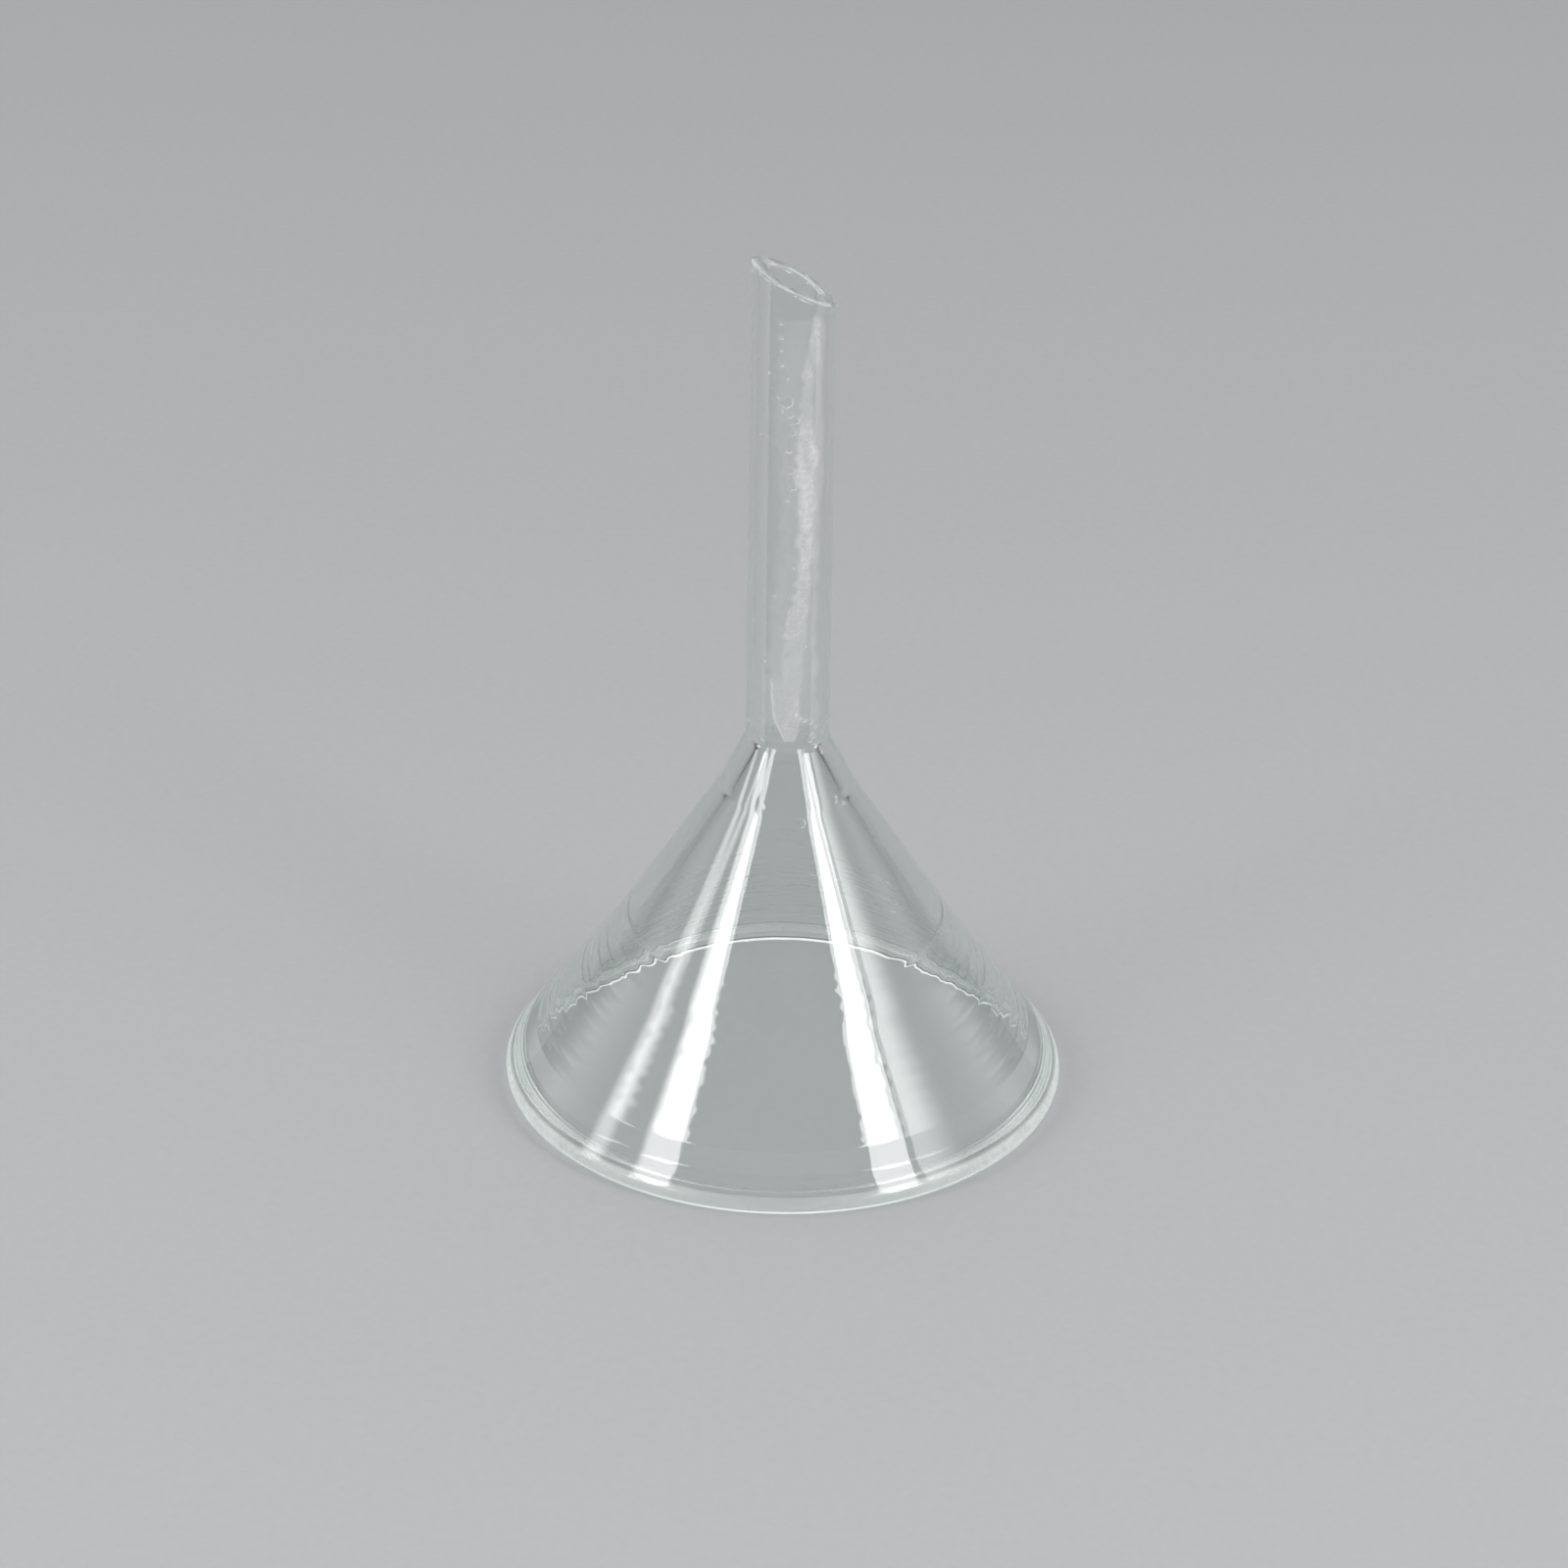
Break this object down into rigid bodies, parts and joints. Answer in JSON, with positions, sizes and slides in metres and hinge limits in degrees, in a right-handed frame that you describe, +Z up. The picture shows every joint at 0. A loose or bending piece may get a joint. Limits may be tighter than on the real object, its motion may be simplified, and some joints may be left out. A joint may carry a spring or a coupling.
{
  "type": "filter funnel",
  "caption": "Small clear glass filter funnel: a wide conical mouth with a beaded rim, drawn into a straight narrow stem with a slanted tip.",
  "frame": {"origin": "centre of the rim's flat foot, with the funnel standing mouth down as in the picture", "axes": "+Z up the stem towards the tip, +X to the right in the picture, the way the tip's cut mostly runs down, +Y away from the camera"},
  "size_m": [0.04, 0.04, 0.0634],
  "materials": {
    "glass": "clear, fire-polished, with a dried haze in the stem"
  },
  "bodies": {
    "root": {"funnel": "glass"}
  },
  "joints": []
}
